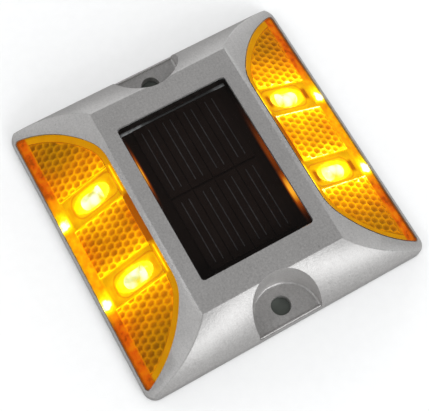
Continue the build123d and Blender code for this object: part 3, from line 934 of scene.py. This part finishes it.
def rim_line():
    """Inner edge of the rim on the +v half, as (u, v) points: the lens's edge moved square inwards."""
    edge = lens_edge(600)
    edge = edge[(edge[:, 1] >= 0) & (edge[:, 0] < LENS_OUTER_U - NOSE_RADIUS)]
    step = np.gradient(edge, axis=0)
    step /= np.linalg.norm(step, axis=1)[:, None]
    inward = np.stack([step[:, 1], -step[:, 0]], axis=-1)
    return edge + inward * (RIM_WIDTH + 0.15)


def kept_in_field(u, v):
    """Each (u, v) drawn to the nearest u and v inside the rim's inner edge and the strip."""
    line = rim_line()
    end_v = np.interp(STRIP_U, line[:, 0], line[:, 1])
    v = np.clip(v, -end_v, end_v)
    least = np.maximum(np.interp(np.abs(v), line[:, 1], line[:, 0]), PRISM_INNER_U)
    return np.clip(u, least, STRIP_U), v


class STUD_OT_lenses(bpy.types.Operator):
    """Build both amber lenses: cover, moulded bed with lamp bowls, and prism fields"""

    bl_idname = "stud.lenses"
    bl_label = "Lenses"

    def execute(self, context):
        settings = context.scene.stud_lens
        cover_finish = amber_cover(tuple(settings.colour))
        bed_finish, prism_finish = amber_bed(), amber_prism()
        for name, side in SIDES.items():
            points, size = cover_surface(side, settings.cover_thickness / MM)
            cover = new_piece(f"lens_cover_{name}", points, slab_faces(*size), cover_finish)
            points, attributes, size = bed_surface(name, side)
            faces = grid_faces(*size, flip=side > 0)
            bed = new_piece(f"lens_bed_{name}", points, faces, bed_finish, attributes)
            wall = bed.modifiers.new("wall", "SOLIDIFY")
            wall.thickness = BED_WALL
            wall.offset = -1.0
            prisms = self.build_prisms(name, side, prism_finish)
            for piece in (cover, bed, prisms):
                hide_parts(f"lens_{name}")
        return {"FINISHED"}

    def build_prisms(self, name, side, finish):
        """The three prism fields of one lens, as one thin-walled piece."""
        cu, cv, u, v, depth, seam, tone, template = prism_fields(*PRISM_START[name])
        field_ends = ((-60.0, -BAY_OUTER_V), (-BAY_INNER_V, BAY_INNER_V), (BAY_OUTER_V, 60.0))
        points, faces, marks = [], [], {"seam": [], "tone": [], "glow": [], "red_shade": [], "dim": []}
        start, per_prism = 0, 6 * len(PRISM_SCALES)
        for low, high in field_ends:
            near_u, near_v = kept_in_field(cu, cv)
            inside = (cv > low - 0.8) & (cv < high + 0.8) & (np.hypot(near_u - cu, near_v - cv) < 0.9)
            fu, fv = kept_in_field(u[inside], np.clip(v[inside], low, high))
            gap = np.minimum(np.abs(np.abs(fv) - BAY_INNER_V), np.abs(np.abs(fv) - BAY_OUTER_V))
            from_end = smooth_step(36.0 - np.abs(fv), 0.0, 12.0)
            glow = 0.50 * np.exp(-gap / 3.8) + FIELD_GLOW[name] * (0.3 + 0.7 * from_end)
            glow = np.maximum(glow, 0.85 * strip_light(fv) * smooth_step(fu, 20.0, 25.0))
            # Painted shade: redder near both ends of the field, away from the bay edges and the strip's
            # lamplight
            red_shade = 0.8 * np.maximum(smooth_step(fu, 19.0, 24.5), smooth_step(8.0 - fu, 0.0, 3.5))
            red_shade = red_shade * smooth_step(gap, 0.5, 3.0) * (1.0 - np.minimum(strip_light(fv), 1.0))
            # Painted shade: dimmer towards the ends of the lens, far from the lamps
            dim = 0.6 * smooth_step(np.abs(fv), 26.0, 34.0)
            points.append(on_facet(side, fu, fv, depth[inside]).reshape(-1, 3))
            starts = start + per_prism * np.arange(len(fu))
            faces.append((template[None] + starts[:, None, None]).reshape(-1, 4))
            found = {"seam": seam[inside], "tone": tone[inside], "glow": glow, "red_shade": red_shade, "dim": dim}
            for key, value in found.items():
                marks[key].append(np.ravel(value))
            start += per_prism * len(fu)
        marks = {key: np.concatenate(value) for key, value in marks.items()}
        points, faces = np.concatenate(points), np.concatenate(faces)
        piece = new_piece(f"lens_prisms_{name}", points, faces, finish, marks, smooth_angle=18.0)
        wall = piece.modifiers.new("wall", "SOLIDIFY")
        wall.thickness = PRISM_WALL
        wall.offset = -1.0
        return piece


def ribbon_surface():
    """Points and grid size of the ribbon that joins the cells along the far end of the panel.

    It runs along X, narrows by a third towards its middle, and its top is crowned by a parabola.
    """
    low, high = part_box("panel_frame")
    cells_end = max(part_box(name)[1][1] for name in frame["nodes"] if name.startswith("solar_cell")) / MM
    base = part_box("solar_cell_1")[0][2] / MM
    t, across = np.meshgrid(np.linspace(0.0, 1.0, 40), np.linspace(-1.0, 1.0, 7), indexing="ij")
    x = low[0] / MM + RIBBON_END_GAP + t * ((high[0] - low[0]) / MM - 2 * RIBBON_END_GAP)
    width = RIBBON_WIDTH * (1.0 - 0.33 * np.sin(pi * t))
    y = cells_end + 0.1 + (RIBBON_WIDTH - width) / 2 + width / 2 * (1.0 + across)
    top = base + 0.12 + 0.10 * (1.0 - across**2)
    upper = np.stack([x, y, top], axis=-1)
    lower = np.stack([x, y, np.full_like(x, base + 0.02)], axis=-1)
    return np.concatenate([upper.reshape(-1, 3), lower.reshape(-1, 3)]), x.shape


class STUD_OT_panel(bpy.types.Operator):
    """Give the window, cells and conductors their finishes, and build the panel's end ribbon"""

    bl_idname = "stud.panel"
    bl_label = "Window and solar panel"

    def execute(self, context):
        nodes = frame["nodes"]
        finishes = {
            "solar_window": clear_window(),
            "cell_busbars": tinned("tinned_busbar", (0.20, 0.175, 0.17)),
            "panel_frame": panel_border(),
            "panel_board": panel_laminate(),
        }
        cell = silicon()
        for name, node in nodes.items():
            if name.startswith("solar_cell"):
                paint(node, cell)
            elif name in finishes:
                paint(node, finishes[name])
        points, size = ribbon_surface()
        ribbon = new_piece("panel_end_ribbon", points, slab_faces(*size), solder_ribbon())
        return {"FINISHED"}


class STUD_OT_insides(bpy.types.Operator):
    """Give the lamps and everything under the cover their finishes"""

    bl_idname = "stud.insides"
    bl_label = "Lamps and insides"

    def execute(self, context):
        lamp = led_epoxy()
        finishes = {
            slot: moulded(slot, colour, rough, grain, metal)
            for slot, (colour, rough, grain, metal) in HIDDEN_FINISHES.items()
        }
        for row in frame["record"]["subparts"]:
            node, slot = frame["nodes"][row["node"]], row["material_slot"]
            if slot == "led_amber":
                paint(node, lamp)
            elif slot in finishes:
                paint(node, finishes[slot])
        return {"FINISHED"}


def paint(node, material):
    """Give a carried-over part one finish."""
    if not node.material_slots:
        node.data.materials.append(material)
    for place_in in node.material_slots:
        place_in.material = material


def soft_light(tree, strength):
    """Even room light on matt surfaces, a white room behind, and a dark one in smooth surfaces."""
    ray = add_node(tree, "LightPath")
    lit = remap(tree, ray.outputs["Is Diffuse Ray"], 0.0, 1.0, 0.05, strength, "LINEAR")
    level = math(tree, "MAXIMUM", lit, ray.outputs["Is Camera Ray"])
    plug(tree, tree.nodes["Background"].inputs["Strength"], level)
    tree.nodes["Background"].inputs["Color"].default_value = (1.0, 1.0, 1.0, 1.0)


def floor_paper(colour):
    """Pale matt paper with a barely seen tooth, which glossy metal sees as dim as the room."""
    material, tree, shader = new_material("floor_paper", Roughness=0.95, Specular_IOR_Level=0.1)
    tooth = noise(tree, 300.0)
    darker = tuple(c * 0.985 for c in colour)
    paper = mottle(tree, tooth, darker, colour)
    in_gloss = add_node(tree, "LightPath").outputs["Is Glossy Ray"]
    dress(tree, shader, Base_Color=blend(tree, in_gloss, paper, tuple(c * 0.2 for c in colour)))
    return material


def stage_sheet(name, reach, z, material):
    """Flat square on the floor, reaching the same distance each way."""
    corners = [(-reach, -reach, z), (reach, -reach, z), (reach, reach, z), (-reach, reach, z)]
    mesh = bpy.data.meshes.new(name)
    mesh.from_pydata(corners, [], [(0, 1, 2, 3)])
    mesh.materials.append(material)
    sheet = bpy.data.objects.new(name, mesh)
    bpy.context.scene.collection.objects.link(sheet)
    return sheet


def clear_pieces():
    """Collection of the smooth clear pieces, marked so that no lamp using it is mirrored in them."""
    clear = bpy.data.collections.new("clear pieces")
    for name in ("lens_cover_left", "lens_cover_right", "solar_window"):
        clear.objects.link(bpy.data.objects[name])
    for member in clear.collection_objects:
        member.light_linking.link_state = "EXCLUDE"
    return clear


def soft_lamp(name, direction, size, power, unseen_in):
    """Square lamp facing the middle of the stud from a direction, unseen in a collection's gloss."""
    light = bpy.data.lights.new(name, "AREA")
    light.shape = "SQUARE"
    light.size = size
    light.energy = power
    light.color = LAMP_COLOUR
    lamp = bpy.data.objects.new(name, light)
    bpy.context.scene.collection.objects.link(lamp)
    lamp.light_linking.receiver_collection = unseen_in
    out = Vector(direction).normalized()
    turn = out.to_track_quat("Z", "Y").to_matrix().to_4x4()
    lamp.matrix_world = Matrix.Translation(out * LAMP_DISTANCE) @ turn
    return lamp


class STUD_OT_stage(bpy.types.Operator):
    """Set up the floor, the lamps and the camera"""

    bl_idname = "stud.stage"
    bl_label = "Stage"

    def execute(self, context):
        settings = context.scene.stud_stage
        scene = context.scene
        scene.view_settings.view_transform = "Standard"
        world = bpy.data.worlds.new("studio")
        world.use_nodes = True
        soft_light(world.node_tree, settings.room_light)
        scene.world = world
        stage_sheet("floor", FLOOR_HALF, FLOOR_Z, floor_paper(tuple(settings.backdrop)))
        # Dark sheet under the stud, seen only through the bolt holes: painted shade inside them
        pad = moulded("hole_shade_sheet", (0.13, 0.145, 0.13), 0.8, 600.0)
        stage_sheet("adhesive pad", SHADE_SHEET_HALF, SHADE_SHEET_Z, pad)
        clear = clear_pieces()
        for name, (direction, size, power, share) in LAMPS.items():
            soft_lamp(name, direction, size, getattr(settings, power) * share, clear)
        self.place_camera(scene)
        return {"FINISHED"}

    def place_camera(self, scene):
        """Camera over the near left corner, turned to look down on the stud."""
        azimuth, elevation, roll = (radians(a) for a in (CAMERA_AZIMUTH, CAMERA_ELEVATION, CAMERA_ROLL))
        back = Vector((sin(azimuth) * cos(elevation), -cos(azimuth) * cos(elevation), sin(elevation)))
        right = (-back).cross(Vector((0, 0, 1))).normalized()
        up = back.cross(right)
        turned_right = cos(roll) * right + sin(roll) * up
        turned_up = cos(roll) * up - sin(roll) * right
        eye = Vector(CAMERA_EYE) * MM
        data = bpy.data.cameras.new("camera")
        data.sensor_width = 36.0
        data.lens = CAMERA_LENS
        data.clip_start = 0.01
        camera = bpy.data.objects.new("camera", data)
        scene.collection.objects.link(camera)
        turn = Matrix((turned_right, turned_up, back)).transposed()
        camera.matrix_world = Matrix.Translation(eye) @ turn.to_4x4()
        scene.camera = camera


class STUD_PT_panel(bpy.types.Panel):
    """Lists the builders of the road stud and their settings"""

    bl_idname = "STUD_PT_panel"
    bl_label = "Road stud"
    bl_space_type = "VIEW_3D"
    bl_region_type = "UI"
    bl_category = "Road stud"

    def draw(self, context):
        for operator in OPERATORS:
            self.layout.operator(operator.bl_idname)
        for name, group in SETTINGS.items():
            box = self.layout.box()
            for key in group.__annotations__:
                box.prop(getattr(context.scene, name), key)


SETTINGS = {
    "stud_casting": StudCastingSettings,
    "stud_lens": StudLensSettings,
    "stud_stage": StudStageSettings,
}
OPERATORS = (STUD_OT_casting, STUD_OT_lenses, STUD_OT_insides, STUD_OT_panel, STUD_OT_stage)


def register():
    """Register the settings, the operators and the panel."""
    for made in (*SETTINGS.values(), *OPERATORS, STUD_PT_panel):
        bpy.utils.register_class(made)
    for name, group in SETTINGS.items():
        setattr(bpy.types.Scene, name, PointerProperty(type=group))


def unregister():
    """Take the panel, the operators and the settings away again."""
    for name in SETTINGS:
        delattr(bpy.types.Scene, name)
    for made in (STUD_PT_panel, *OPERATORS, *SETTINGS.values()):
        bpy.utils.unregister_class(made)


def main():
    """Build the stud."""
    register()
    for operator in OPERATORS:
        group, name = operator.bl_idname.split(".")
        getattr(getattr(bpy.ops, group), name)()


if __name__ == "__main__":
    main()
